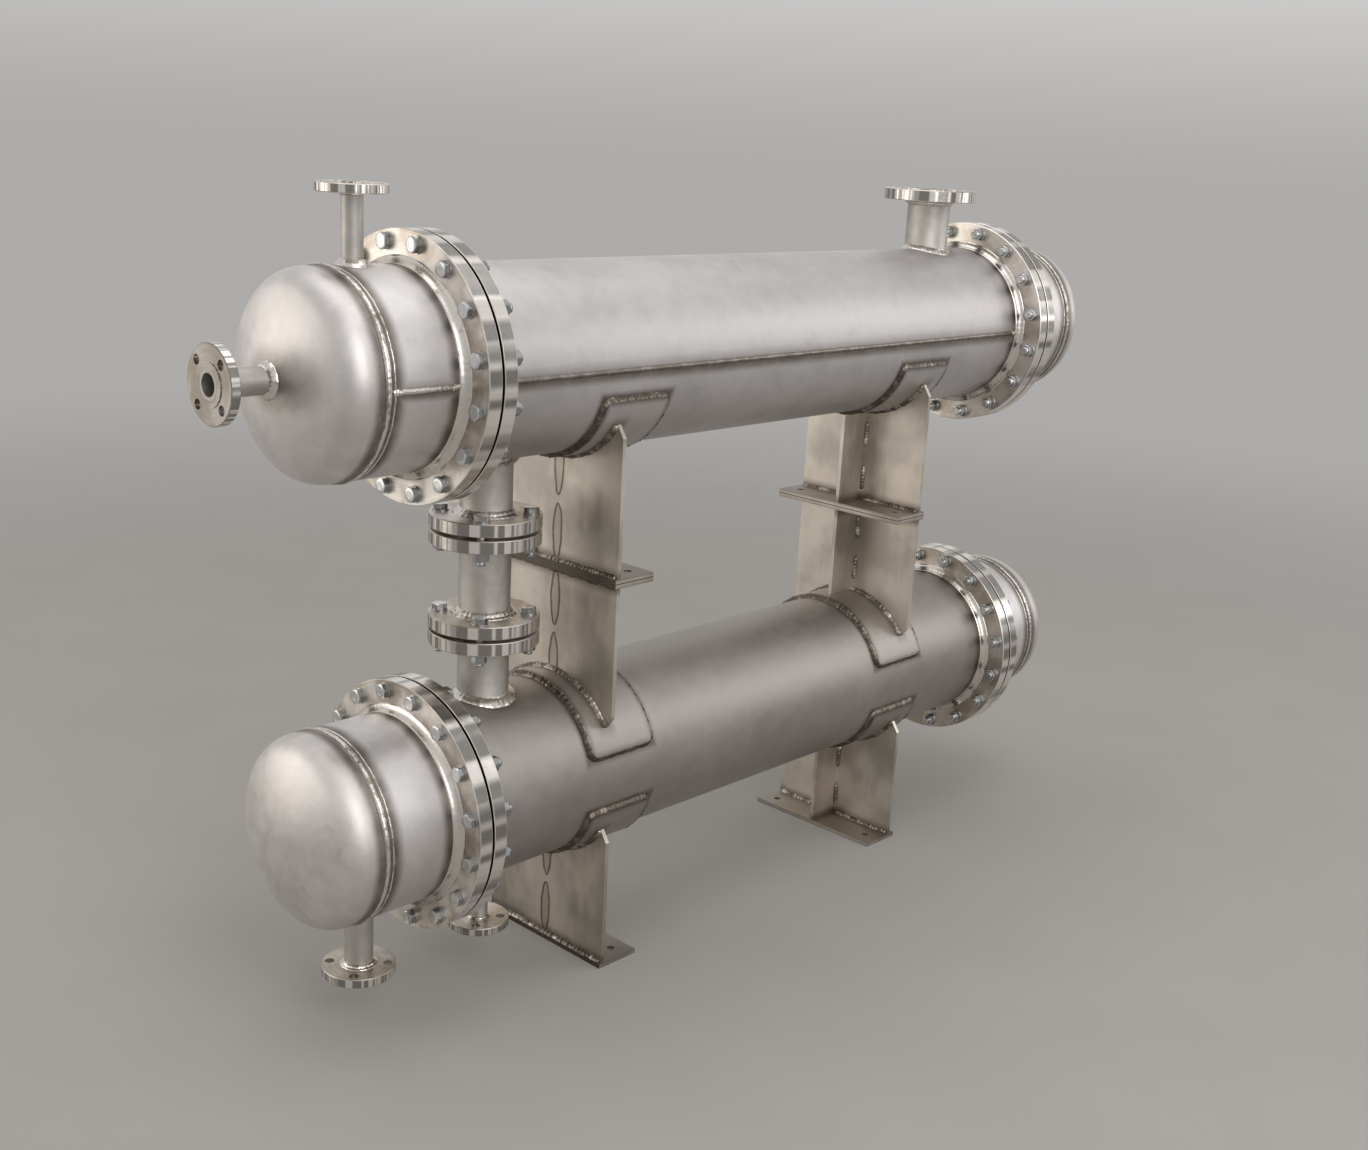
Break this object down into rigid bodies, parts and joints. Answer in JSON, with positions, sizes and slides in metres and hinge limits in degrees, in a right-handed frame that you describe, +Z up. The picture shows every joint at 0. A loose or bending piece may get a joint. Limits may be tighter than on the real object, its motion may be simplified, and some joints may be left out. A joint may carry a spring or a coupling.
{
  "type": "shell and tube heat exchanger",
  "caption": "Stacked pair of stainless shell and tube heat exchangers with dished heads, bolted channel flanges, a joining spool, flanged nozzles and plate saddles.",
  "frame": {"origin": "centre of the part's box at floor level", "axes": "+X along the shells, towards the rear heads; +Z up; Y across"},
  "size_m": [2.146, 0.43, 1.385],
  "materials": {
    "shell_plate": "matte pickled grey",
    "flange": "turned, satin",
    "saddle_plate": "mill finish with weld tint",
    "gasket": "matte black"
  },
  "bodies": {
    "root": {"upper_front_head": "shell_plate", "upper_front_channel": "shell_plate", "upper_front_flange": "flange", "upper_front_gasket": "gasket", "upper_front_tubesheet": "flange", "upper_shell": "shell_plate", "upper_rear_tubesheet": "flange", "upper_rear_gasket": "gasket", "upper_rear_flange": "flange", "upper_rear_channel": "shell_plate", "upper_rear_head": "shell_plate", "lower_front_head": "shell_plate", "lower_front_channel": "shell_plate", "lower_front_flange": "flange", "lower_front_gasket": "gasket", "lower_front_tubesheet": "flange", "lower_shell": "shell_plate", "lower_rear_tubesheet": "flange", "lower_rear_gasket": "gasket", "lower_rear_flange": "flange", "lower_rear_channel": "shell_plate", "lower_rear_head": "shell_plate", "end_nozzle": "flange", "vent_nozzle": "flange", "top_nozzle": "flange", "upper_neck": "flange", "spool": "flange", "spool_gaskets": "gasket", "lower_neck": "flange", "channel_drain_nozzle": "flange", "shell_drain_nozzle": "flange", "upper_front_pad": "shell_plate", "upper_rear_pad": "shell_plate", "front_stand_pad": "shell_plate", "rear_stand_pad": "shell_plate", "lower_front_pad": "shell_plate", "lower_rear_pad": "shell_plate", "upper_front_saddle": "saddle_plate", "upper_rear_saddle": "saddle_plate", "front_stand": "saddle_plate", "rear_stand": "saddle_plate", "lower_front_saddle": "saddle_plate", "lower_rear_saddle": "saddle_plate"}
  },
  "joints": []
}
